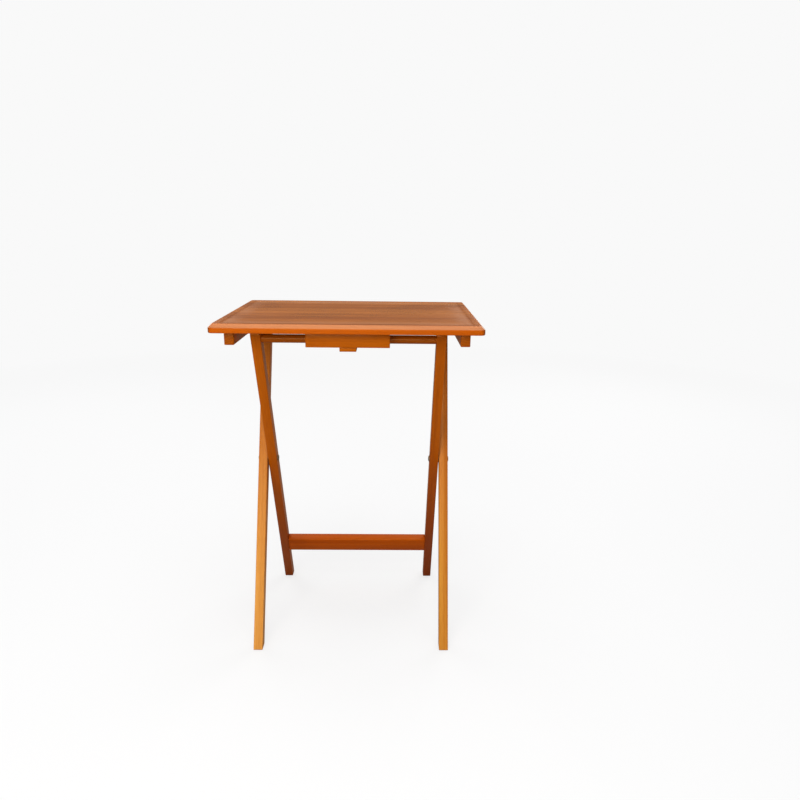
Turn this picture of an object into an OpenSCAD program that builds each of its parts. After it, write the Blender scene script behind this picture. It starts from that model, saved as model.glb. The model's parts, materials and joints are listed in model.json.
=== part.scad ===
// Folding tray table: a wooden top on two crossed leg frames.
// Millimetres, +Z up, -Y is the front (the side with the catch).
// The origin is on the floor, under the centre of the table.

/* [Overall] */
// Width of the top, left to right
top_width = 480; // [380:5:620]
// Depth of the top, front to back
top_depth = 344; // [290:5:460]
// Height of the top face above the floor
table_height = 664; // [550:2:820]

/* [Top panel] */
// Thickness of the top panel
top_thickness = 16; // [14:0.5:22]
// Width of the bevel along the upper edge
edge_bevel = 6.5; // [3:0.5:8]
// Radius of the eased lower edge
under_round = 1.5; // [1:0.5:3]
// Radius of the corners seen from above
corner_radius = 9; // [7:0.5:20]
// Width of the border round the sunk field
rim_width = 18; // [12:1:30]
// Depth of the sunk field
field_depth = 0.8; // [0.4:0.1:1.6]

/* [Cleats] */
// Width of each cleat, left to right
cleat_width = 17; // [16:0.5:24]
// Height of each cleat under the top
cleat_height = 24; // [24:0.5:34]
// Distance from the panel's front and back edges to the cleat ends
cleat_setback = 20; // [14:1:30]

/* [Catch] */
// Width of the catch block, left to right
block_width = 149; // [110:1:200]
// Depth of the catch block, front to back
block_depth = 16; // [14:0.5:20]
// Height of the catch block under the top
block_height = 27; // [24:0.2:31]
// Distance from the panel's front edge to the block
block_setback = 20; // [14:1:26]
// Width of the catch tongue
tongue_width = 30; // [24:1:50]
// Thickness of the catch tongue
tongue_thickness = 8; // [6:0.5:10]
// Distance the tongue's front end sits behind the block's front face
tongue_inset = 4; // [1:0.5:5]
// Length of the tongue, front to back
tongue_length = 46; // [42:1:52]

/* [Leg frames] */
// Width of the outer frame over both legs
outer_frame_width = 393; // [310:1:540]
// Thickness of every leg, left to right
leg_width = 18; // [16:0.5:22]
// Depth of every leg across its length
leg_depth = 21; // [18:0.5:25]
// Distance from the panel's front edge back to the dowel
dowel_setback = 61; // [54:1:66]
// Distance from the panel's back edge forward to the top hinge
hinge_setback = 68.5; // [50:0.5:85]
// Distance from the panel's front edge back to the centre of the outer feet
outer_foot_setback = 25.5; // [12:0.5:40]
// Distance from the panel's back edge forward to the centre of the inner feet
inner_foot_setback = 39.5; // [25:0.5:60]
// Height of the top hinge axis below the panel
hinge_drop = 14; // [13:0.5:17]
// Size of the bevel round the bottom of each foot
foot_bevel = 1.5; // [0.5:0.5:3]

/* [Cross rails] */
// Diameter of the dowel that joins the tops of the inner legs
dowel_diameter = 15.5; // [10:0.5:16]
// Depth of the dowel's seat in each inner leg
dowel_seat = 12; // [8:1:14]
// Width of the lower stretcher along the legs
stretcher_height = 37.5; // [24:0.5:50]
// Thickness of the lower stretcher across the legs
stretcher_thickness = 18.5; // [15:0.5:20]
// Height of the stretcher's centre above the floor
stretcher_level = 109; // [70:1:160]

/* [Hardware] */
// Diameter of the pivot bolts and hinge bolts
bolt_diameter = 6; // [5:0.5:8]
// Diameter of the raised bolt heads
head_diameter = 13; // [11:0.5:15]
// Height of the raised bolt heads
head_height = 2.6; // [2.2:0.1:4.5]
// Diameter of the washers
washer_diameter = 16; // [14:0.5:18]
// Gap between an outer leg and an inner leg
pivot_gap = 1.6; // [1.2:0.1:3]
// Gap between an outer leg and a cleat
hinge_gap = 3; // [1.6:0.1:5]
// Shank diameter of the wood screws
screw_diameter = 3.6; // [3:0.1:4.5]
// Head diameter of the wood screws
screw_head = 7; // [6:0.1:8]

/* [Fits] */
// Radial clearance of a pivot in its bore
running_clearance = 0.1; // [0.05:0.01:0.2]
// Radial clearance round glued pins and driven screws
fixed_clearance = 0.02; // [0.01:0.01:0.05]
// Gap left between faces that slide on each other
face_clearance = 0.2; // [0.1:0.05:0.4]
// Gap between the resting dowel and the tongue below it
catch_clearance = 0.5; // [0.3:0.1:1]
// Gap between the inner legs' ends and the panel
rest_clearance = 0.3; // [0.2:0.1:0.6]

/* [Part] */
// Which piece to show

/* [Hidden] */
$fn = 64;
eps = 0.01;
front_y = -top_depth / 2;
back_y = top_depth / 2;
panel_z = table_height - top_thickness;

// Leg frames in the side view
dowel_y = front_y + dowel_setback;
dowel_z = panel_z - block_height + catch_clearance + dowel_diameter / 2;
hinge_y = back_y - hinge_setback;
hinge_z = panel_z - hinge_drop;
outer_foot_y = front_y + outer_foot_setback;
inner_foot_y = back_y - inner_foot_setback;
inner_slope = (inner_foot_y - dowel_y) / dowel_z;
outer_slope = (hinge_y - outer_foot_y) / hinge_z;
pivot_z = (inner_foot_y - outer_foot_y) / (inner_slope + outer_slope);
pivot_y = outer_foot_y + outer_slope * pivot_z;
inner_lean = atan(inner_slope);
outer_lean = atan(outer_slope);
end_z = panel_z - rest_clearance - leg_depth / 2;
end_y = dowel_y - inner_slope * (end_z - dowel_z);
stretcher_y = inner_foot_y - inner_slope * stretcher_level;

// Positions across the table, measured from the middle
outer_out = outer_frame_width / 2;
outer_in = outer_out - leg_width;
inner_out = outer_in - pivot_gap;
inner_in = inner_out - leg_width;
cleat_in = outer_out + hinge_gap;
cleat_out = cleat_in + cleat_width;
cleat_mid = (cleat_in + cleat_out) / 2;

// Hardware lengths
bolt_bore = bolt_diameter + 2 * running_clearance;
nut_diameter = head_diameter - 1;
hinge_bolt_end = outer_in + 3;
washer_bore = bolt_diameter + 2 * running_clearance;
block_mid_y = front_y + block_setback + block_depth / 2;
tongue_y = front_y + block_setback + tongue_inset;
tongue_z = panel_z - block_height - tongue_thickness;
screw_seat = 4;
cleat_screw_y = [front_y + cleat_setback + 35, 0, back_y - cleat_setback - 22];
block_screw_x = block_width / 2 - 22;
tongue_screw_x = tongue_width / 2 - 7;
tongue_screw_y = block_mid_y + 1;

wood_light = [0.80, 0.44, 0.16];
wood_mid = [0.72, 0.37, 0.12];
wood_dark = [0.62, 0.30, 0.10];
steel = [0.70, 0.70, 0.72];

// A cylinder along X from x1 to x2
module rod_x(x1, x2, y, z, d) {
  translate([min(x1, x2), y, z]) rotate([0, 90, 0]) cylinder(h = abs(x2 - x1), d = d);
}

// A washer along X from x1 to x2
module washer_x(x1, x2, y, z, d, bore) {
  difference() {
    rod_x(x1, x2, y, z, d);
    rod_x(min(x1, x2) - 1, max(x1, x2) + 1, y, z, bore);
  }
}

// Arc points, from angle a1 to angle a2
function arc(cx, cy, r, a1, a2, n = 8) = [
  for (i = [0 : n]) [cx + r * cos(a1 + (a2 - a1) * i / n), cy + r * sin(a1 + (a2 - a1) * i / n)]
];

// Section of the panel: eased below, bevelled above
module panel_section(half) {
  polygon(concat(
    [[-half + under_round, 0], [half - under_round, 0], [half, under_round]],
    [[half, top_thickness - edge_bevel], [half - edge_bevel, top_thickness]],
    [[-half + edge_bevel, top_thickness], [-half, top_thickness - edge_bevel]],
    [[-half, under_round]]
  ));
}

// A box with upright rounded corners, centred on the origin
module round_box(w, d, h, r) {
  union() {
    translate([-w / 2 + r, -d / 2, 0]) cube([w - 2 * r, d, h]);
    translate([-w / 2, -d / 2 + r, 0]) cube([w, d - 2 * r, h]);
    for (sx = [-1, 1]) {
      for (sy = [-1, 1]) {
        translate([sx * (w / 2 - r), sy * (d / 2 - r), 0]) cylinder(h = h, r = r);
      }
    }
  }
}

// A countersunk wood screw pointing up, its head's lower face at z = 0
module wood_screw(length) {
  union() {
    cylinder(h = 2.2, d1 = screw_head, d2 = screw_diameter);
    cylinder(h = length, d = screw_diameter);
  }
}

// Room for a wood screw: shank hole, cone seat and access hole below
module screw_hole(length, access) {
  c = fixed_clearance;
  union() {
    translate([0, 0, -access]) cylinder(h = access + eps, d = screw_head + 2 * c + 0.4);
    cylinder(h = 2.2, d1 = screw_head + 2 * c + 0.4, d2 = screw_diameter + 2 * c);
    cylinder(h = length + 0.5, d = screw_diameter + 2 * c);
  }
}

module cleat_screw_holes(side) {
  for (y = cleat_screw_y) {
    translate([side * cleat_mid, y, panel_z - cleat_height + screw_seat])
      screw_hole(cleat_height - screw_seat + top_thickness * 0.55, screw_seat + 1);
  }
}

module block_screw_holes() {
  for (sx = [-1, 1]) {
    translate([sx * block_screw_x, block_mid_y, panel_z - block_height + screw_seat])
      screw_hole(block_height - screw_seat + top_thickness * 0.55, screw_seat + 1);
  }
}

module tongue_screw_holes() {
  for (sx = [-1, 1]) {
    translate([sx * tongue_screw_x, tongue_screw_y, tongue_z + 0.4])
      screw_hole(tongue_thickness + 9, 1.4);
  }
}

module table_top() {
  color(wood_light)
  difference() {
    translate([0, 0, panel_z])
    intersection() {
      translate([0, top_depth / 2 + 1, 0]) rotate([90, 0, 0])
        linear_extrude(height = top_depth + 2) panel_section(top_width / 2);
      translate([-top_width / 2 - 1, 0, 0]) rotate([90, 0, 90])
        linear_extrude(height = top_width + 2) panel_section(top_depth / 2);
      translate([0, 0, -1]) round_box(top_width, top_depth, top_thickness + 2, corner_radius);
    }
    translate([0, 0, table_height - field_depth])
      round_box(top_width - 2 * rim_width, top_depth - 2 * rim_width, field_depth + 1, 6);
    cleat_screw_holes(-1);
    cleat_screw_holes(1);
    block_screw_holes();
  }
}

module cleat(side) {
  difference() {
    translate([side * cleat_mid - cleat_width / 2, front_y + cleat_setback, panel_z - cleat_height])
      cube([cleat_width, top_depth - 2 * cleat_setback, cleat_height]);
    cleat_screw_holes(side);
    rod_x(side * (cleat_in - 1), side * (cleat_out + 1), hinge_y, hinge_z, bolt_bore);
  }
}

module left_cleat() {
  color(wood_dark) cleat(-1);
}

module right_cleat() {
  color(wood_dark) cleat(1);
}

module cleat_screws() {
  color(steel)
  for (sx = [-1, 1]) {
    for (y = cleat_screw_y) {
      translate([sx * cleat_mid, y, panel_z - cleat_height + screw_seat])
        wood_screw(cleat_height - screw_seat + top_thickness * 0.55);
    }
  }
}

module catch_block() {
  color(wood_mid)
  difference() {
    translate([-block_width / 2, front_y + block_setback, panel_z - block_height])
      cube([block_width, block_depth, block_height]);
    block_screw_holes();
    tongue_screw_holes();
  }
}

module block_screws() {
  color(steel)
  for (sx = [-1, 1]) {
    translate([sx * block_screw_x, block_mid_y, panel_z - block_height + screw_seat])
      wood_screw(block_height - screw_seat + top_thickness * 0.55);
  }
}

module catch_tongue() {
  color(wood_mid)
  difference() {
    translate([-tongue_width / 2, tongue_y, tongue_z])
      cube([tongue_width, tongue_length, tongue_thickness]);
    tongue_screw_holes();
  }
}

module tongue_screws() {
  color(steel)
  for (sx = [-1, 1]) {
    translate([sx * tongue_screw_x, tongue_screw_y, tongue_z + 0.4])
      wood_screw(tongue_thickness + 9);
  }
}

// A leg leaning in the side view, from its bevelled foot to its round upper end
module leg(side, x_in, foot_y, lean, end_y, end_z) {
  x1 = side > 0 ? x_in : -x_in - leg_width;
  half = leg_depth / 2 / cos(lean);
  up_y = -sin(lean) * foot_bevel;
  up_z = cos(lean) * foot_bevel;
  translate([x1, 0, 0]) rotate([90, 0, 90])
    linear_extrude(height = leg_width)
      polygon(concat(
        [
          [foot_y - half + foot_bevel, 0],
          [foot_y + half - foot_bevel, 0],
          [foot_y + half + up_y, up_z]
        ],
        arc(end_y, end_z, leg_depth / 2, lean, lean + 180, 16),
        [[foot_y - half + up_y, up_z]]
      ));
}

module outer_leg(side) {
  difference() {
    leg(side, outer_in, outer_foot_y, -outer_lean, hinge_y, hinge_z);
    rod_x(side * (outer_in - 1), side * (outer_out + 1), pivot_y, pivot_z,
      bolt_diameter + 2 * fixed_clearance);
    rod_x(side * hinge_bolt_end, side * (outer_out + 1), hinge_y, hinge_z,
      bolt_diameter + 2 * fixed_clearance);
  }
}

module left_outer_leg() {
  color(wood_light) outer_leg(-1);
}

module right_outer_leg() {
  color(wood_light) outer_leg(1);
}

module stretcher_pin(side, offset, length, d) {
  translate([0, stretcher_y, stretcher_level]) rotate([inner_lean, 0, 0])
    rod_x(side * (inner_in - length), side * (inner_in + length), 0, offset, d);
}

module inner_leg(side) {
  difference() {
    leg(side, inner_in, inner_foot_y, inner_lean, end_y, end_z);
    rod_x(side * (inner_in - 1), side * (inner_out + 1), pivot_y, pivot_z, bolt_bore);
    rod_x(side * (inner_in - 1), side * (inner_in + dowel_seat), dowel_y, dowel_z,
      dowel_diameter + 2 * fixed_clearance);
    for (s = [-1, 1]) {
      stretcher_pin(side, s * stretcher_height / 4, 10.5, 8 + 2 * fixed_clearance);
    }
  }
}

module left_inner_leg() {
  color(wood_light) inner_leg(-1);
}

module right_inner_leg() {
  color(wood_light) inner_leg(1);
}

module top_dowel() {
  color(wood_mid)
    rod_x(-inner_in - dowel_seat + 0.3, inner_in + dowel_seat - 0.3, dowel_y, dowel_z, dowel_diameter);
}

module lower_stretcher() {
  color(wood_mid)
  difference() {
    translate([0, stretcher_y, stretcher_level]) rotate([inner_lean, 0, 0])
      translate([-inner_in + eps, -stretcher_thickness / 2, -stretcher_height / 2])
        cube([2 * inner_in - 2 * eps, stretcher_thickness, stretcher_height]);
    for (sx = [-1, 1]) {
      for (s = [-1, 1]) {
        stretcher_pin(sx, s * stretcher_height / 4, 10.5, 8 + 2 * fixed_clearance);
      }
    }
  }
}

module stretcher_pins() {
  color(wood_light)
  for (sx = [-1, 1]) {
    for (s = [-1, 1]) {
      stretcher_pin(sx, s * stretcher_height / 4, 10, 8);
    }
  }
}

// A low raised head along X: its flat face at x0, rising toward dir
module raised_head(x0, dir, y, z, d, h) {
  rim = h * 0.4;
  translate([x0, y, z]) rotate([0, dir * 90, 0])
  union() {
    cylinder(h = rim, d = d);
    translate([0, 0, rim]) cylinder(h = h * 0.35, d1 = d, d2 = d * 0.8);
    translate([0, 0, h * 0.75]) cylinder(h = h * 0.25, d1 = d * 0.8, d2 = d * 0.4);
  }
}

// Bolt through an inner leg and an outer leg, its head on the inside
module pivot_bolt(side) {
  union() {
    raised_head(side * (inner_in - face_clearance), -side, pivot_y, pivot_z, head_diameter, head_height);
    rod_x(side * (inner_in - face_clearance), side * (outer_out + face_clearance), pivot_y, pivot_z,
      bolt_diameter);
  }
}

module left_pivot_bolt() {
  color(steel) pivot_bolt(-1);
}

module right_pivot_bolt() {
  color(steel) pivot_bolt(1);
}

module left_pivot_washer() {
  color(steel) pivot_washer(-1);
}

module right_pivot_washer() {
  color(steel) pivot_washer(1);
}

module pivot_washer(side) {
  washer_x(side * (inner_out + face_clearance), side * (outer_in - eps), pivot_y, pivot_z,
    washer_diameter, washer_bore);
}

// Raised nut on the outer face of the outer leg
module cap_nut(side) {
  raised_head(side * (outer_out + face_clearance), side, pivot_y, pivot_z, nut_diameter, head_height - 0.8);
}

module left_cap_nut() {
  color(steel) cap_nut(-1);
}

module right_cap_nut() {
  color(steel) cap_nut(1);
}

// Bolt through a cleat, screwed into the outer leg
module hinge_bolt(side) {
  union() {
    raised_head(side * (cleat_out + face_clearance), side, hinge_y, hinge_z, head_diameter, head_height);
    rod_x(side * (hinge_bolt_end + 0.3), side * (cleat_out + face_clearance), hinge_y, hinge_z,
      bolt_diameter);
  }
}

module left_hinge_bolt() {
  color(steel) hinge_bolt(-1);
}

module right_hinge_bolt() {
  color(steel) hinge_bolt(1);
}

module hinge_washer(side) {
  washer_x(side * (outer_out + eps), side * (cleat_in - face_clearance), hinge_y, hinge_z,
    washer_diameter, washer_bore);
}

module left_hinge_washer() {
  color(steel) hinge_washer(-1);
}

module right_hinge_washer() {
  color(steel) hinge_washer(1);
}

table_top();
left_cleat();
right_cleat();
cleat_screws();
catch_block();
block_screws();
catch_tongue();
tongue_screws();
left_outer_leg();
right_outer_leg();
left_inner_leg();
right_inner_leg();
top_dowel();
lower_stretcher();
stretcher_pins();
left_pivot_bolt();
right_pivot_bolt();
left_pivot_washer();
right_pivot_washer();
left_cap_nut();
right_cap_nut();
left_hinge_bolt();
right_hinge_bolt();
left_hinge_washer();
right_hinge_washer();
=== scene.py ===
import bpy, bmesh, json, math
from mathutils import Matrix, Vector


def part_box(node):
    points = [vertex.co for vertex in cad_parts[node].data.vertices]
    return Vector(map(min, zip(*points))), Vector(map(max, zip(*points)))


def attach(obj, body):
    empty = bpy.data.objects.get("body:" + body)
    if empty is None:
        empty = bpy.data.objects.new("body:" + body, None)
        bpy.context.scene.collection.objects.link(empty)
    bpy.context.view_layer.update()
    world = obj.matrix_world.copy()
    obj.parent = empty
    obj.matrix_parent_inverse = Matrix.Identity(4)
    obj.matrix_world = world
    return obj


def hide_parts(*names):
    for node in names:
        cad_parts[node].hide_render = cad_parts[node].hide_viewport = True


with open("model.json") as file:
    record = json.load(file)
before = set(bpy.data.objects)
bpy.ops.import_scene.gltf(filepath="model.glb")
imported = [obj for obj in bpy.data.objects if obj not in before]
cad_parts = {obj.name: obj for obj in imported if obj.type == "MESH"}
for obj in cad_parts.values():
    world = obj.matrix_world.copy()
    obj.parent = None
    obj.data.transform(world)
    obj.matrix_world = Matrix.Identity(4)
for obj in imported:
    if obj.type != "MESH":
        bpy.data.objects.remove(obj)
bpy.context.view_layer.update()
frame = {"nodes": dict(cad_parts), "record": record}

# ---------------------------------------------------------------- sizes (metres)
JOINTS = {j["name"]: j for j in frame["record"]["behaviour"]["joints"]}
PIVOT = Vector(JOINTS["leg_fold"]["pos_m"])
HINGE = Vector(JOINTS["top_tilt"]["pos_m"])
TOP_LO, TOP_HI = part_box("table_top")
DOWEL = sum(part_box("top_dowel"), Vector()) / 2
LEG_DEPTH = 0.021
LEG_END_GAP = 0.0003  # between the inner legs' ends and the panel
BEVEL = 0.0065  # along the panel's upper edge
LOWER_ROUND = 0.0015
CORNER = 0.009
FIELD_START, FIELD_SLOPE, FIELD_SINK = 0.0168, 0.0034, 0.0008
STRETCHER_THICKNESS, STRETCHER_HEIGHT = 0.0185, 0.0375
BOLT_RADIUS, HEAD_RADIUS, HEAD_HEIGHT, NUT_RADIUS = 0.003, 0.0065, 0.0026, 0.006
SCREW_RADIUS, SCREW_HEAD_RADIUS = 0.0018, 0.0035
OUTER_LEAN = -math.atan2(HINGE.y - PIVOT.y, HINGE.z - PIVOT.z)
INNER_LEAN = -math.atan2(DOWEL.y - PIVOT.y, DOWEL.z - PIVOT.z)


def foot_y(lean):
    """Where a leg's middle line meets the floor."""
    return PIVOT.y + PIVOT.z * math.tan(lean)


# ---------------------------------------------------------------- node helpers
class Nodes:
    """Short names for building a material's nodes."""

    def __init__(self, name):
        self.mat = bpy.data.materials.new(name)
        self.mat.use_nodes = True
        self.t = self.mat.node_tree
        self.t.nodes.clear()
        self.out = self.t.nodes.new("ShaderNodeOutputMaterial")
        self.bsdf = self.t.nodes.new("ShaderNodeBsdfPrincipled")
        self.t.links.new(self.bsdf.outputs[0], self.out.inputs[0])

    def new(self, kind, **values):
        n = self.t.nodes.new("ShaderNode" + kind)
        for k, v in values.items():
            setattr(n, k, v)
        return n

    def link(self, a, b):
        self.t.links.new(a, b)

    def coords(self, rotation=(0, 0, 0), shift=(0, 0, 0)):
        c = self.new("TexCoord")
        m = self.new("Mapping")
        m.inputs["Rotation"].default_value = rotation
        m.inputs["Location"].default_value = shift
        self.link(c.outputs["Object"], m.inputs["Vector"])
        return m.outputs[0]

    def scaled(self, vec, s):
        m = self.new("VectorMath", operation="MULTIPLY")
        self.link(vec, m.inputs[0])
        m.inputs[1].default_value = s
        return m.outputs[0]

    def noise(self, vec, scale, detail=3.0, rough=0.5, distort=0.0):
        n = self.new("TexNoise")
        self.link(vec, n.inputs["Vector"])
        n.inputs["Scale"].default_value = scale
        n.inputs["Detail"].default_value = detail
        n.inputs["Roughness"].default_value = rough
        n.inputs["Distortion"].default_value = distort
        return n.outputs[0]

    def math(self, op, a, b=0.0, clamp=False):
        m = self.new("Math", operation=op)
        m.use_clamp = clamp
        for i, v in enumerate((a, b)):
            if isinstance(v, (int, float)):
                m.inputs[i].default_value = v
            else:
                self.link(v, m.inputs[i])
        return m.outputs[0]

    def ramp(self, value, stops):
        r = self.new("ValToRGB")
        e = r.color_ramp.elements
        while len(e) < len(stops):
            e.new(0.5)
        for el, (pos, col) in zip(e, stops):
            el.position = pos
            el.color = (*col, 1)
        self.link(value, r.inputs[0])
        return r.outputs[0]

    def remap(self, value, a, b, c, d):
        m = self.new("MapRange")
        self.link(value, m.inputs[0])
        for i, v in enumerate((a, b, c, d)):
            m.inputs[i + 1].default_value = v
        return m.outputs[0]

    def mix(self, kind, fac, a, b):
        m = self.new("MixRGB", blend_type=kind)
        for s, v in zip(m.inputs, (fac, a, b)):
            if isinstance(v, (int, float)):
                s.default_value = v
            elif isinstance(v, tuple):
                s.default_value = (*v, 1)
            else:
                self.link(v, s)
        return m.outputs[0]

    def bump(self, height, distance, strength=1.0):
        b = self.new("Bump")
        b.inputs["Strength"].default_value = strength
        b.inputs["Distance"].default_value = distance
        self.link(height, b.inputs["Height"])
        self.link(b.outputs[0], self.bsdf.inputs["Normal"])


HONEY = [(0.10, (0.310, 0.058, 0.0006)), (0.40, (0.440, 0.093, 0.0010)),
         (0.62, (0.520, 0.118, 0.0016)), (0.92, (0.610, 0.158, 0.0034))]
GOLD = [(0.10, (0.340, 0.076, 0.0060)), (0.40, (0.470, 0.128, 0.0130)),
        (0.62, (0.550, 0.170, 0.0210)), (0.92, (0.640, 0.240, 0.0350))]
FIELD_TONE = [(0.10, (0.270, 0.066, 0.0080)), (0.40, (0.370, 0.104, 0.0130)),
              (0.62, (0.430, 0.130, 0.0180)), (0.92, (0.510, 0.170, 0.0270))]
END_TONE = [(0.25, (0.280, 0.052, 0.0010)), (0.50, (0.400, 0.082, 0.0016)),
            (0.80, (0.500, 0.120, 0.0040))]
SHEEN_TINT = (1.0, 0.50, 0.14, 1)


def shifted(tones, red=1.0, green=1.0, blue=1.0):
    """The same tones, a little warmer, darker or paler."""
    return [(p, (c[0] * red, c[1] * green, c[2] * blue)) for p, c in tones]


GRAIN_X = (0, 0, 0)
GRAIN_Y = (0, 0, -math.pi / 2)


def grain_leg(lean):
    """Turns the grain along a leg."""
    return (-lean, math.pi / 2, 0)


def inside(n, half, start=0.004, full=0.011):
    """1 well inside a rectangle about the origin, 0 at its border, in plan."""
    sep = n.new("SeparateXYZ")
    n.link(n.coords(), sep.inputs[0])
    gaps = [n.math("SUBTRACT", half[i], n.math("ABSOLUTE", sep.outputs[i])) for i in (0, 1)]
    return n.remap(n.math("MINIMUM", gaps[0], gaps[1]), start, full, 0.0, 1.0)


def band(n, half, start, full, fall, end):
    """1 between two distances in from a rectangle's border, fading on both sides."""
    return n.math("MULTIPLY", inside(n, half, start, full), inside(n, half, end, fall))


def height(n):
    sep = n.new("SeparateXYZ")
    n.link(n.coords(), sep.inputs[0])
    return sep.outputs["Z"]


def panel_tones(n, p, level, col, half):
    """The panel's browner field, painted shade on its lip, a painted sheen inside the rim, a painted
    highlight on the bevel and the orange edge.
    """
    col = n.mix("MIX", inside(n, half), col, n.ramp(level, FIELD_TONE))
    # painted shade: the lip where the field dips is darkened, standing in for shade on its slope
    lip_painted_shade = band(n, half, 0.0160, 0.0172, 0.0195, 0.0235)
    col = n.mix("MULTIPLY", n.math("MULTIPLY", lip_painted_shade, 0.32), col, (0.55, 0.40, 0.36))
    # painted sheen: a patchy pale pink band inside the rim stands in for the top's reflection near its
    # edges
    rim_painted_sheen = band(n, half, 0.0190, 0.0250, 0.0300, 0.0520)
    sheen_patches = n.remap(n.noise(n.scaled(p, (5, 9, 9)), 1.0, 2.0), 0.38, 0.62, 0.18, 0.62)
    col = n.mix("MIX", n.math("MULTIPLY", rim_painted_sheen, sheen_patches), col, (0.500, 0.225, 0.120))
    z = height(n)
    above = n.remap(z, TOP_HI.z - 0.0070, TOP_HI.z - 0.0058, 0.0, 1.0)
    # painted highlight: the bevel is paled toward pink, standing in for the light reflected along it
    bevel_painted_highlight = n.math("MULTIPLY", inside(n, half, 0.0072, 0.0058), above)
    col = n.mix("MIX", n.math("MULTIPLY", bevel_painted_highlight, 0.58), col, (0.560, 0.240, 0.115))
    below = n.remap(z, TOP_HI.z - 0.0058, TOP_HI.z - 0.0072, 0.0, 1.0)
    face = n.math("MULTIPLY", inside(n, half, 0.0020, 0.0010), below)
    return n.mix("MIX", n.math("MULTIPLY", face, 0.60), col, (0.660, 0.118, 0.0008))


def wood(name, rotation, shift=(0, 0, 0), tones=HONEY, staves=0.0, rough=(0.30, 0.46), coat=0.06,
         field=None, figure=1.0, specular=0.42, foot_stain_light_and_shade=None):
    """Stained and lacquered hardwood with its grain along the rotated X axis.

    field is half the panel's plan size, and the foot factors scale the tones toward the floor: partly
    stain, partly painted shade where they darken and painted light where they pale.
    """
    n = Nodes(name)
    p = n.coords(rotation, shift)
    drift = n.noise(n.scaled(p, (1.3, 7, 7)), 1.0, 2.0)
    wander = n.new("VectorMath", operation="MULTIPLY_ADD")
    n.link(drift, wander.inputs[0])
    wander.inputs[1].default_value = (0.0, 0.012, 0.012)
    n.link(p, wander.inputs[2])
    w = wander.outputs[0]
    bands = n.noise(n.scaled(w, (0.7, 27, 27)), 1.0, 3.0, 0.55)
    streaks = n.noise(n.scaled(w, (2.4, 210, 210)), 1.0, 4.0, 0.6)
    tone = n.math("ADD", n.math("MULTIPLY", bands, 0.62), n.math("MULTIPLY", streaks, 0.38))
    if staves:
        sep = n.new("SeparateXYZ")
        n.link(p, sep.inputs[0])
        row = n.math("FLOOR", n.math("DIVIDE", sep.outputs["Y"], staves))
        rnd = n.new("TexWhiteNoise", noise_dimensions="1D")
        n.link(row, rnd.inputs["W"])
        tone = n.math("ADD", tone, n.remap(rnd.outputs[0], 0, 1, -0.055, 0.055))
    half = 0.40 * figure
    level = n.remap(tone, 0.32, 0.68, 0.52 - half, 0.52 + half)
    col = n.ramp(level, tones)
    if field:
        col = panel_tones(n, p, level, col, field)
    if foot_stain_light_and_shade:
        # painted light and shade, partly stain: toward the floor the tones scale by the foot factors,
        # darkening as painted shade and paling as painted light
        low = n.remap(height(n), 0.40, 0.12, 0.0, 1.0)
        col = n.mix("MIX", low, col, n.ramp(level, shifted(tones, *foot_stain_light_and_shade)))
    pores = n.noise(n.scaled(w, (42, 1500, 1500)), 1.0, 2.0, 0.5)
    pore = n.remap(pores, 0.34, 0.46, 1.0, 0.0)
    col = n.mix("MULTIPLY", n.math("MULTIPLY", pore, 0.28), col, (0.50, 0.36, 0.28))
    n.link(col, n.bsdf.inputs["Base Color"])
    n.bsdf.inputs["Specular IOR Level"].default_value = specular
    n.bsdf.inputs["Specular Tint"].default_value = SHEEN_TINT
    smear = n.noise(n.scaled(p, (9, 16, 16)), 1.0, 3.0, 0.6)
    n.link(n.remap(smear, 0.35, 0.65, rough[0], rough[1]), n.bsdf.inputs["Roughness"])
    n.bsdf.inputs["Coat Weight"].default_value = coat
    n.bsdf.inputs["Coat Roughness"].default_value = 0.14
    n.bsdf.inputs["IOR"].default_value = 1.5
    h = n.math("SUBTRACT", n.math("MULTIPLY", streaks, 0.5), n.math("MULTIPLY", pore, 0.35))
    n.bump(h, 0.00025, 0.55)
    return n.mat


def end_grain(name, rotation, shift=(0, 0, 0)):
    """The darker cut across the grain: growth rings and open pores."""
    n = Nodes(name)
    p = n.coords(rotation, shift)
    flat = n.scaled(p, (0.05, 1, 1))
    rings = n.new("TexWave", wave_type="RINGS", rings_direction="X")
    moved = n.new("VectorMath", operation="ADD")
    n.link(flat, moved.inputs[0])
    moved.inputs[1].default_value = (0, 0.034, 0.027)
    n.link(moved.outputs[0], rings.inputs["Vector"])
    rings.inputs["Scale"].default_value = 70
    rings.inputs["Distortion"].default_value = 1.6
    rings.inputs["Detail"].default_value = 3
    specks = n.noise(flat, 1700, 2.0)
    tone = n.math("ADD", n.math("MULTIPLY", rings.outputs[1], 0.16), n.math("MULTIPLY", specks, 0.8))
    n.link(n.ramp(tone, END_TONE), n.bsdf.inputs["Base Color"])
    n.link(n.remap(specks, 0.3, 0.7, 0.34, 0.5), n.bsdf.inputs["Roughness"])
    n.bsdf.inputs["Specular Tint"].default_value = SHEEN_TINT
    n.bsdf.inputs["Coat Weight"].default_value = 0.03
    n.bsdf.inputs["Coat Roughness"].default_value = 0.2
    n.bump(specks, 0.0002, 0.5)
    return n.mat


def steel(name, tone, rough):
    """Plated steel with fine turning marks and a mottled finish."""
    n = Nodes(name)
    p = n.coords()
    mottle = n.noise(p, 420, 4.0, 0.6)
    marks = n.noise(n.scaled(p, (5200, 420, 420)), 1.0, 2.0)
    n.link(n.ramp(mottle, [(0.3, tuple(c * 0.78 for c in tone)), (0.7, tone)]), n.bsdf.inputs["Base Color"])
    n.link(n.remap(marks, 0.3, 0.7, rough * 0.75, rough * 1.3), n.bsdf.inputs["Roughness"])
    n.bsdf.inputs["Metallic"].default_value = 1.0
    n.bump(marks, 0.00004, 0.4)
    return n.mat


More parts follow.
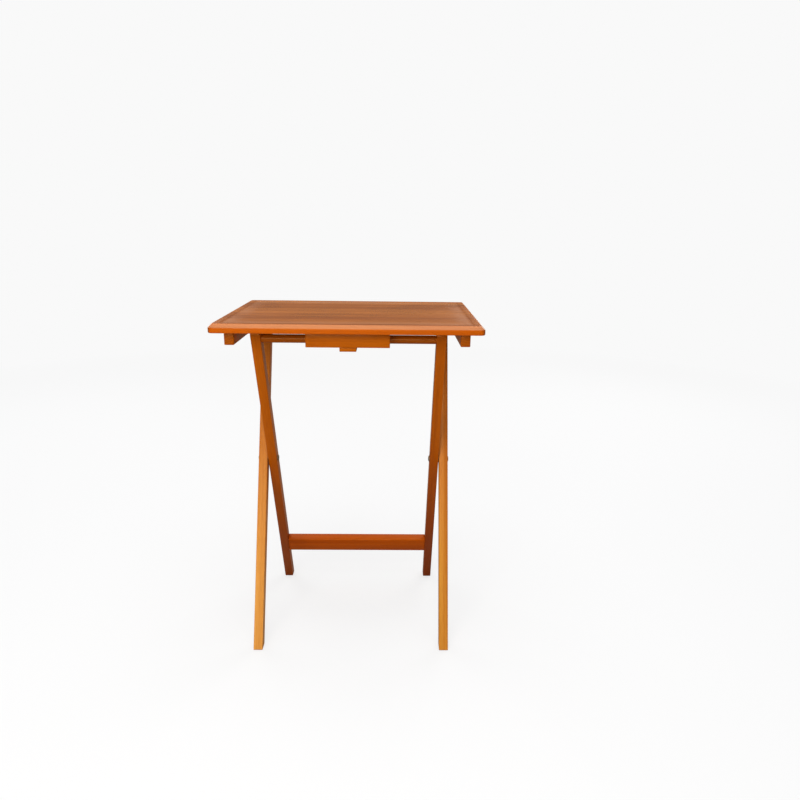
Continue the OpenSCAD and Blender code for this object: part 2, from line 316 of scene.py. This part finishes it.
# ---------------------------------------------------------------- mesh helpers
def obj_from(bm, name, mats, smooth=35):
    bmesh.ops.recalc_face_normals(bm, faces=bm.faces)
    me = bpy.data.meshes.new(name)
    bm.to_mesh(me)
    bm.free()
    for m in mats:
        me.materials.append(m)
    me.polygons.foreach_set("use_smooth", [True] * len(me.polygons))
    me.set_sharp_from_angle(angle=math.radians(smooth))
    o = bpy.data.objects.new(name, me)
    bpy.context.scene.collection.objects.link(o)
    return o


def place(o, body, slot, *nodes):
    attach(o, body)
    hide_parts(*nodes)
    return o


def ease(bm, width, segments=3, angle=30):
    """Rounds every edge sharper than an angle."""
    sharp = [e for e in bm.edges if len(e.link_faces) == 2 and e.calc_face_angle(0) > math.radians(angle)]
    bmesh.ops.bevel(bm, geom=sharp, offset=width, segments=segments, profile=0.5,
                    affect="EDGES", clamp_overlap=True)


def mark_ends(o, axis, limit=0.72):
    """Gives faces that look along the grain the second material."""
    axis = Vector(axis).normalized()
    for f in o.data.polygons:
        if abs(f.normal.dot(axis)) > limit:
            f.material_index = 1


def prism(points, x0, x1):
    """A side-view outline in (y, z), extruded from x0 to x1."""
    bm = bmesh.new()
    a = [bm.verts.new((x0, y, z)) for y, z in points]
    b = [bm.verts.new((x1, y, z)) for y, z in points]
    bm.faces.new(a)
    bm.faces.new(b[::-1])
    for i in range(len(points)):
        j = (i + 1) % len(points)
        bm.faces.new((a[i], b[i], b[j], a[j]))
    bmesh.ops.recalc_face_normals(bm, faces=bm.faces)
    return bm


def block(lo, hi, matrix=None):
    bm = bmesh.new()
    bmesh.ops.create_cube(bm, size=1)
    for v in bm.verts:
        v.co = Vector([(lo[i] + hi[i]) / 2 + v.co[i] * (hi[i] - lo[i]) for i in range(3)])
    if matrix:
        bmesh.ops.transform(bm, matrix=matrix, verts=bm.verts)
    return bm


def turned(profile, centre, axis, segments=48):
    """A turned piece: profile is (distance along the axis, radius) from end to end."""
    bm = bmesh.new()
    rings = []
    for d, r in profile:
        angles = [2 * math.pi * k / segments for k in range(segments)] if r >= 1e-7 else [0]
        rings.append([bm.verts.new((d, r * math.cos(a), r * math.sin(a))) for a in angles])
    for a, b in zip(rings, rings[1:]):
        for k in range(segments):
            q = (k + 1) % segments
            if len(a) == 1:
                bm.faces.new((a[0], b[k], b[q]))
            elif len(b) == 1:
                bm.faces.new((a[k], b[0], a[q]))
            else:
                bm.faces.new((a[k], b[k], b[q], a[q]))
    for r, flip in ((rings[0], False), (rings[-1], True)):
        if len(r) > 1:
            bm.faces.new(r[::-1] if flip else r)
    turn = Vector((1, 0, 0)).rotation_difference(Vector(axis).normalized()).to_matrix().to_4x4()
    bmesh.ops.transform(bm, matrix=Matrix.Translation(centre) @ turn, verts=bm.verts)
    return bm


def bm_object(bm, name):
    me = bpy.data.meshes.new(name)
    bm.to_mesh(me)
    bm.free()
    o = bpy.data.objects.new(name, me)
    bpy.context.scene.collection.objects.link(o)
    return o


def cut(o, cutters):
    """Takes closed meshes out of a piece, and keeps the result as its mesh."""
    made = [bm_object(c, "cutter") for c in cutters]
    for c in made:
        m = o.modifiers.new("cut", "BOOLEAN")
        m.operation = "DIFFERENCE"
        m.solver = "EXACT"
        m.object = c
    dg = bpy.context.evaluated_depsgraph_get()
    me = bpy.data.meshes.new_from_object(o.evaluated_get(dg), depsgraph=dg)
    o.modifiers.clear()
    old = o.data
    o.data = me
    bpy.data.meshes.remove(old)
    for c in made:
        bpy.data.objects.remove(c)
    me.polygons.foreach_set("use_smooth", [True] * len(me.polygons))
    me.set_sharp_from_angle(angle=math.radians(35))
    return o


def merged(bms):
    """Several meshes as one."""
    out = bmesh.new()
    for b in bms:
        me = bpy.data.meshes.new("part")
        b.to_mesh(me)
        b.free()
        out.from_mesh(me)
        bpy.data.meshes.remove(me)
    return out


# ---------------------------------------------------------------- materials
top_mat = wood("top_wood", GRAIN_X, (0.31, 0.02, 0.11), staves=0.067, rough=(0.24, 0.40), coat=0.16,
               field=(TOP_HI.x, TOP_HI.y), figure=1.25)
top_end = end_grain("top_end_grain", GRAIN_X)
rail_mat = wood("rail_wood", GRAIN_X, (0.7, 0.3, 0.2))
rail_end = end_grain("rail_end_grain", GRAIN_X)
stretcher_mat = wood("stretcher_wood", GRAIN_X, (1.9, 0.1, 0.6),
                     shifted(HONEY, 0.88, 0.64, 0.6), specular=0.34)
dowel_mat = wood("dowel_wood", GRAIN_X, (2.6, 0.8, 0.4), shifted(HONEY, 0.92, 0.95),
                 rough=(0.24, 0.36), specular=0.5)
cleat_mat = wood("cleat_wood", GRAIN_Y, (0.2, 0.5, 0.9))
cleat_end = end_grain("cleat_end_grain", GRAIN_Y)
LEG_MATS = {}
# foot factors: the outer legs pale toward the floor as painted light, the inner legs darken and redden as
# painted shade, both partly stain
for key, lean, sh, foot_stain_light_and_shade in (("left_outer_leg", OUTER_LEAN, 0.13, (1.42, 2.15, 4.0)),
                            ("right_outer_leg", OUTER_LEAN, 1.71, (1.06, 1.30, 1.4)),
                            ("left_inner_leg", INNER_LEAN, 2.37, (0.70, 0.52, 0.5)),
                            ("right_inner_leg", INNER_LEAN, 3.49, (0.66, 0.42, 0.4))):
    LEG_MATS[key] = (wood(key + "_wood", grain_leg(lean), (sh, sh * 0.7, sh * 0.4),
                          GOLD if "outer" in key else HONEY, figure=0.8, foot_stain_light_and_shade=foot_stain_light_and_shade),
                     end_grain(key + "_end", grain_leg(lean)))
bolt_mat = steel("bolt_steel", (0.30, 0.225, 0.14), 0.36)
screw_mat = steel("screw_steel", (0.40, 0.35, 0.26), 0.36)
# painted shade: near-black steel for the insides of the screw and bolt recesses
recess_shade_mat = steel("recess_painted_shade_steel", (0.10, 0.10, 0.10), 0.5)


# ---------------------------------------------------------------- top panel
def rounded_loop(w, d, r, steps=7):
    pts = []
    for cx, cy, a0 in ((1, 1, 0), (-1, 1, 90), (-1, -1, 180), (1, -1, 270)):
        for k in range(steps + 1):
            a = math.radians(a0 + 90 * k / steps)
            pts.append((cx * (w / 2 - r) + r * math.cos(a), cy * (d / 2 - r) + r * math.sin(a)))
    return pts


def softened(corner, back, on, size=0.0008):
    """Points round a corner of an outline, from the way back to the way on."""
    curve = [((1 - t) ** 2, t * t) for t in (0.0, 0.25, 0.5, 0.75, 1.0)]
    return [tuple(corner[i] + size * (u * back[i] + v * on[i]) for i in (0, 1)) for u, v in curve]


def panel():
    w, d = TOP_HI.x - TOP_LO.x, TOP_HI.y - TOP_LO.y
    z0, z1 = TOP_LO.z, TOP_HI.z
    slope, rb = math.sqrt(0.5), LOWER_ROUND
    prof = [(0.030, z0), (rb, z0)]
    for a in (math.radians(30), math.radians(60), math.radians(90)):
        prof.append((rb - rb * math.sin(a), z0 + rb - rb * math.cos(a)))
    prof += softened((0, z1 - BEVEL), (0, -1), (slope, slope))
    prof += softened((BEVEL, z1), (-slope, -slope), (1, 0))
    prof += [(0.0100, z1), (FIELD_START, z1)]
    for k in range(1, 7):
        s = k / 6
        prof.append((FIELD_START + FIELD_SLOPE * s, z1 - FIELD_SINK * (3 * s * s - 2 * s ** 3)))
    prof.append((0.040, z1 - FIELD_SINK))
    bm = bmesh.new()
    loops = []
    for inset, z in prof:
        r = max(CORNER - inset, CORNER / 2)
        loops.append([bm.verts.new((x, y, z)) for x, y in rounded_loop(w - 2 * inset, d - 2 * inset, r)])
    for a, b in zip(loops, loops[1:]):
        for k in range(len(a)):
            q = (k + 1) % len(a)
            bm.faces.new((a[k], b[k], b[q], a[q]))
    bm.faces.new(loops[0])
    bm.faces.new(loops[-1][::-1])
    o = obj_from(bm, "top_panel", [top_mat, top_end], 40)
    mark_ends(o, (1, 0, 0), 0.80)
    return place(o, "top", "top_wood", "table_top")


panel()


# ---------------------------------------------------------------- cleats, block and tongue
def screw_spots(node):
    """Centre and lowest point of each screw of a node, worked out from its mesh's islands."""
    o = frame["nodes"][node]
    bm = bmesh.new()
    bm.from_mesh(o.data)
    seen, spots = set(), []
    for v in bm.verts:
        if v.index in seen:
            continue
        stack, part = [v], []
        seen.add(v.index)
        while stack:
            q = stack.pop()
            part.append(q.co.copy())
            for e in q.link_edges:
                n = e.other_vert(q)
                if n.index not in seen:
                    seen.add(n.index)
                    stack.append(n)
        lo = [min(c[i] for c in part) for i in range(3)]
        hi = [max(c[i] for c in part) for i in range(3)]
        spots.append((round((lo[0] + hi[0]) / 2, 5), round((lo[1] + hi[1]) / 2, 5), lo[2], hi[2]))
    bm.free()
    return sorted({s for s in spots if s[3] - s[2] > 0.004})


def drill(spots, low, radius=0.0039):
    """Cutters for the holes that take the screws in from below."""
    return [turned([(low - 0.004, radius), (z + 0.0002, radius)], (x, y, 0), (0, 0, 1), 32)
            for x, y, z, _ in spots]


CLEAT_SCREWS = screw_spots("cleat_screws")
BLOCK_SCREWS = screw_spots("block_screws")
TONGUE_SCREWS = screw_spots("tongue_screws")

for side in ("left", "right"):
    node = side + "_cleat"
    lo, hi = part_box(node)
    bm = block(lo, hi)
    ease(bm, 0.0014)
    o = obj_from(bm, side + "_cleat_rail", [cleat_mat, cleat_end])
    mark_ends(o, (0, 1, 0))
    sign = -1 if side == "left" else 1
    cut(o, drill([s for s in CLEAT_SCREWS if s[0] * sign > 0], lo.z))
    place(o, "top", "under_wood", node)

lo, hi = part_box("catch_block")
bm = block(lo, hi)
ease(bm, 0.0012)
o = obj_from(bm, "catch_block_body", [rail_mat, rail_end])
mark_ends(o, (1, 0, 0))
cut(o, drill(BLOCK_SCREWS, lo.z))
place(o, "top", "under_wood", "catch_block")

lo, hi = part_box("catch_tongue")
bm = block(lo, hi)
ease(bm, 0.0010)
o = obj_from(bm, "catch_tongue_body", [rail_mat, rail_end])
mark_ends(o, (1, 0, 0))
cut(o, drill(TONGUE_SCREWS, lo.z, 0.0038))
place(o, "top", "under_wood", "catch_tongue")


def cross_recess(x, y, z, size=0.0042, depth=0.0013):
    """Cutter for a cross recess that opens downwards at z."""
    parts = []
    for a in (0, 90):
        parts.append(block((-size / 2, -0.00045, -0.001), (size / 2, 0.00045, depth),
                           Matrix.Translation((x, y, z)) @ Matrix.Rotation(math.radians(a + 20), 4, "Z")))
    return parts


def screws(node, name, spots):
    rim = SCREW_HEAD_RADIUS
    heads = []
    for x, y, z, top in spots:
        outline = [(0, rim - 0.0003), (0.0002, rim), (0.0022, SCREW_RADIUS), (top - z, SCREW_RADIUS)]
        heads.append(turned(outline, (x, y, z), (0, 0, 1), 32))
    o = obj_from(merged(heads), name, [screw_mat, recess_shade_mat])
    cuts = []
    for s in spots:
        cuts += cross_recess(s[0], s[1], s[2])
    cut(o, cuts)
    return place(o, "top", "screw_steel", node)


screws("cleat_screws", "cleat_screw_set", CLEAT_SCREWS)
screws("block_screws", "block_screw_set", BLOCK_SCREWS)
screws("tongue_screws", "tongue_screw_set", TONGUE_SCREWS)


# ---------------------------------------------------------------- legs
def leg_outline(lean, end, bevel=0.0015, steps=22):
    half = LEG_DEPTH / 2 / math.cos(lean)
    f = foot_y(lean)
    up = (-math.sin(lean) * bevel, math.cos(lean) * bevel)
    pts = [(f - half + bevel, 0), (f + half - bevel, 0), (f + half + up[0], up[1])]
    r = LEG_DEPTH / 2
    for k in range(steps + 1):
        a = lean + math.pi * k / steps
        pts.append((end[0] + r * math.cos(a), end[1] + r * math.sin(a)))
    pts.append((f - half + up[0], up[1]))
    return pts


END_Z = TOP_LO.z - LEG_END_GAP - LEG_DEPTH / 2
INNER_END = (PIVOT.y - (END_Z - PIVOT.z) * math.tan(INNER_LEAN), END_Z)
OUTER_END = (HINGE.y, HINGE.z)
for node, body, lean, end in (("left_outer_leg", "outer_frame", OUTER_LEAN, OUTER_END),
                              ("right_outer_leg", "outer_frame", OUTER_LEAN, OUTER_END),
                              ("left_inner_leg", "inner_frame", INNER_LEAN, INNER_END),
                              ("right_inner_leg", "inner_frame", INNER_LEAN, INNER_END)):
    lo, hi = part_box(node)
    bm = prism(leg_outline(lean, end), lo.x, hi.x)
    ease(bm, 0.0016, 3, 40)
    o = obj_from(bm, node + "_bar", list(LEG_MATS[node]))
    mark_ends(o, (0, -math.sin(lean), math.cos(lean)), 0.62)
    place(o, body, "leg_wood", node)

# ---------------------------------------------------------------- dowel and stretcher
lo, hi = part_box("top_dowel")
r = (hi.z - lo.z) / 2
outline = [(lo.x, r - 0.001), (lo.x + 0.001, r), (-0.06, r),
           (0.06, r), (hi.x - 0.001, r), (hi.x, r - 0.001)]
bm = turned(outline, (0, DOWEL.y, DOWEL.z), (1, 0, 0), 64)
o = obj_from(bm, "dowel_rod", [dowel_mat, rail_end])
mark_ends(o, (1, 0, 0))
place(o, "inner_frame", "leg_wood", "top_dowel")

lo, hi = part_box("lower_stretcher")
mid = (lo + hi) / 2
tilt = Matrix.Translation(mid) @ Matrix.Rotation(INNER_LEAN, 4, "X")
ht, hh = STRETCHER_THICKNESS / 2, STRETCHER_HEIGHT / 2
bm = block((lo.x, -ht, -hh), (hi.x, ht, hh), tilt)
ease(bm, 0.0018)
o = obj_from(bm, "stretcher_rail", [stretcher_mat, rail_end])
mark_ends(o, (1, 0, 0))
place(o, "inner_frame", "leg_wood", "lower_stretcher")


# ---------------------------------------------------------------- bolts, nuts and washers
def dome(r, h, x0, steps=8):
    """Profile of a domed head from its flat face at x0."""
    rim = h * 0.28
    prof = [(x0, r - 0.0002), (x0 + 0.0002, r), (x0 + rim, r)]
    for k in range(1, steps + 1):
        a = math.pi / 2 * k / steps
        prof.append((x0 + rim + (h - rim) * math.sin(a), max(r * math.cos(a), 0)))
    return prof


def hex_cutter(x, sign, y, z, radius=0.0023, depth=0.0015):
    return turned([(-depth, radius), (0.004, radius)], (x, y, z), (sign, 0, 0), 6)


def bolt(node, name, head_out, y, z):
    """A bolt along X, its head toward head_out."""
    lo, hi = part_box(node)
    face = hi.x - HEAD_HEIGHT if head_out > 0 else lo.x + HEAD_HEIGHT
    tip = lo.x if head_out > 0 else hi.x
    shank = abs(face - tip)
    prof = [(-shank, BOLT_RADIUS - 0.0006), (-shank + 0.0006, BOLT_RADIUS), (-0.00001, BOLT_RADIUS)]
    prof += dome(HEAD_RADIUS, HEAD_HEIGHT, 0.0)
    o = obj_from(turned(prof, (face, y, z), (head_out, 0, 0)), name, [bolt_mat, recess_shade_mat])
    cut(o, [hex_cutter(face + head_out * HEAD_HEIGHT, head_out, y, z)])
    return place(o, "outer_frame", "bolt_steel", node)


def disc_washer(node, name, y, z, r=0.008, hole=0.0031):
    lo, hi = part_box(node)
    bm = bmesh.new()
    n = 48
    e = min(0.0003, (hi.x - lo.x) * 0.25)
    prof = [(lo.x, hole), (lo.x, r - e), (lo.x + e, r), (hi.x - e, r), (hi.x, r - e), (hi.x, hole)]
    angles = [2 * math.pi * k / n for k in range(n)]
    rings = [[bm.verts.new((x, y + q * math.cos(a), z + q * math.sin(a))) for a in angles] for x, q in prof]
    for a, b in zip(rings, rings[1:] + rings[:1]):
        for k in range(n):
            q = (k + 1) % n
            bm.faces.new((a[k], b[k], b[q], a[q]))
    o = obj_from(bm, name, [bolt_mat])
    return place(o, "outer_frame", "bolt_steel", node)


for side, sign in (("left", -1), ("right", 1)):
    bolt(side + "_pivot_bolt", side + "_pivot_bolt_body", -sign, PIVOT.y, PIVOT.z)
    bolt(side + "_hinge_bolt", side + "_hinge_bolt_body", sign, HINGE.y, HINGE.z)
    disc_washer(side + "_pivot_washer", side + "_pivot_disc", PIVOT.y, PIVOT.z)
    disc_washer(side + "_hinge_washer", side + "_hinge_disc", HINGE.y, HINGE.z)
    lo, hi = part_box(side + "_cap_nut")
    face = lo.x if sign > 0 else hi.x
    o = obj_from(turned(dome(NUT_RADIUS, hi.x - lo.x, 0.0), (face, PIVOT.y, PIVOT.z), (sign, 0, 0)),
                 side + "_cap_nut_body", [bolt_mat])
    place(o, "outer_frame", "bolt_steel", side + "_cap_nut")

# the pegs are inside the joints, and keep their CAD shape
peg_mat = wood("peg_wood", GRAIN_X, tones=[(0.2, (0.42, 0.26, 0.12)), (0.8, (0.60, 0.42, 0.22))], coat=0.0,
               rough=(0.5, 0.65))
pegs = frame["nodes"]["stretcher_pins"]
pegs.data.materials.clear()
pegs.data.materials.append(peg_mat)

# ---------------------------------------------------------------- stage, light, camera
BACKDROP = (0.947, 0.947, 0.947, 1)


def only_seen(n, base, seen):
    """Mixes two shaders: the second is what the camera sees directly."""
    path = n.new("LightPath")
    m = n.new("MixShader")
    n.link(path.outputs["Is Camera Ray"], m.inputs[0])
    n.link(base, m.inputs[1])
    n.link(seen, m.inputs[2])
    return m.outputs[0]


fl = Nodes("floor")
haze = fl.noise(fl.coords(), 3.0, 4.0)
sand = fl.ramp(haze, [(0.3, (0.28, 0.235, 0.18)), (0.7, (0.30, 0.255, 0.195))])
fl.link(sand, fl.bsdf.inputs["Base Color"])
fl.bsdf.inputs["Roughness"].default_value = 0.9
fl.bsdf.inputs["Specular IOR Level"].default_value = 0.0
paper, glow, both = fl.new("BsdfDiffuse"), fl.new("Emission"), fl.new("AddShader")
paper.inputs[0].default_value = (0.22, 0.225, 0.235, 1)
glow.inputs[0].default_value = BACKDROP
glow.inputs[1].default_value = 0.73
fl.link(paper.outputs[0], both.inputs[0])
fl.link(glow.outputs[0], both.inputs[1])
far, fade, away = fl.new("Emission"), fl.new("MixShader"), fl.new("VectorMath", operation="LENGTH")
far.inputs[0].default_value = BACKDROP
fl.link(fl.coords(), away.inputs[0])
fl.link(fl.remap(away.outputs["Value"], 0.7, 3.2, 0.0, 1.0), fade.inputs[0])
fl.link(both.outputs[0], fade.inputs[1])
fl.link(far.outputs[0], fade.inputs[2])
fl.link(only_seen(fl, fl.bsdf.outputs[0], fade.outputs[0]), fl.out.inputs[0])
bm = bmesh.new()
bmesh.ops.create_grid(bm, x_segments=1, y_segments=1, size=14)
floor = obj_from(bm, "floor", [fl.mat])

world = bpy.data.worlds.new("studio")
bpy.context.scene.world = world
world.use_nodes = True
wt = world.node_tree
wt.nodes.clear()


def wnew(kind):
    return wt.nodes.new("ShaderNode" + kind)


wo, seen, cast, path, mixer = [wnew(k) for k in ("OutputWorld", "Background", "Background",
                                                 "LightPath", "MixShader")]
seen.inputs[0].default_value = BACKDROP
coord, sep, ramp = wnew("TexCoord"), wnew("SeparateXYZ"), wnew("ValToRGB")
wt.links.new(coord.outputs["Generated"], sep.inputs[0])
wt.links.new(sep.outputs["Z"], ramp.inputs[0])
sky = ramp.color_ramp.elements
sky.new(0.5)
for el, (pos, col) in zip(sky, [(0.0, (0.10, 0.095, 0.085, 1)), (0.35, (0.17, 0.165, 0.155, 1)),
                                (1.0, (1.0, 1.0, 1.0, 1))]):
    el.position = pos
    el.color = col
wt.links.new(ramp.outputs[0], cast.inputs[0])
wt.links.new(path.outputs["Is Camera Ray"], mixer.inputs[0])
wt.links.new(cast.outputs[0], mixer.inputs[1])
wt.links.new(seen.outputs[0], mixer.inputs[2])
wt.links.new(mixer.outputs[0], wo.inputs[0])


def softbox(name, where, target, size, watts, colour):
    data = bpy.data.lights.new(name, "AREA")
    data.size = size
    data.energy = watts
    data.color = colour
    o = bpy.data.objects.new(name, data)
    o.location = where
    o.rotation_euler = (Vector(target) - Vector(where)).to_track_quat("-Z", "Y").to_euler()
    bpy.context.scene.collection.objects.link(o)


softbox("key", (-0.35, -1.95, 1.30), (0, 0, 0.40), 1.5, 34, (1.0, 0.95, 0.86))
softbox("overhead", (0.1, -0.6, 2.9), (0, 0, 0.40), 2.2, 24, (1.0, 0.98, 0.94))
softbox("back right", (1.4, 2.0, 1.5), (0, 0, 0.35), 1.5, 23, (1.0, 0.96, 0.90))
softbox("back left", (-1.6, 1.7, 1.5), (0, 0, 0.35), 1.5, 17, (1.0, 0.96, 0.90))

cam_data = bpy.data.cameras.new("camera")
cam_data.sensor_width = 36
cam_data.lens = 28.438
cam = bpy.data.objects.new("camera", cam_data)
cam.location = (0.0767, -1.2489, 0.8394)
cam.rotation_euler = [math.radians(a) for a in (74.071, -0.663, -0.679)]
bpy.context.scene.collection.objects.link(cam)
bpy.context.scene.camera = cam
bpy.context.scene.view_settings.view_transform = "Standard"
